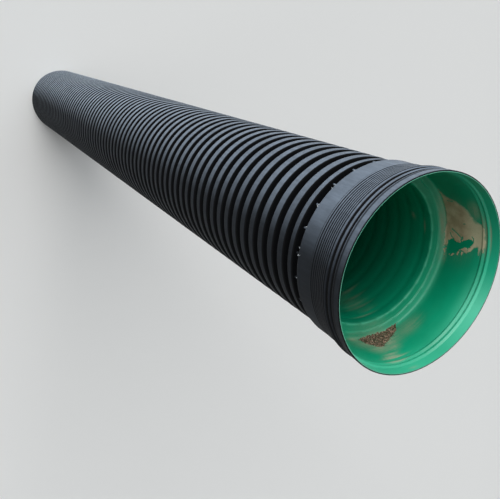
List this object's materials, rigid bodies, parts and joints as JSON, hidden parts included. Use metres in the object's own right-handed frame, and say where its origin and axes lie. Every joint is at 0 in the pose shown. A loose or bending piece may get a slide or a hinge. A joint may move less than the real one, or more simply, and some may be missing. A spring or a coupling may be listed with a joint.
{
  "type": "twin wall pipe",
  "caption": "Large twin wall plastic drainage pipe: black corrugated outer wall, smooth green bore, and an integral socket at one end.",
  "frame": {"origin": "on the floor, in the middle of the plain end that the pipe stands on", "axes": "+Z along the pipe's axis up to the socket mouth; -X is the side that faces up when the pipe lies as in the picture"},
  "size_m": [0.7596, 0.7598, 5.9994],
  "materials": {
    "black_polyethylene": "extruded and moulded, satin, dusty",
    "green_polyethylene": "smooth extruded, satin, with dried mud"
  },
  "bodies": {
    "root": {"outer_wall": "black_polyethylene", "inner_wall": "green_polyethylene"}
  },
  "joints": []
}
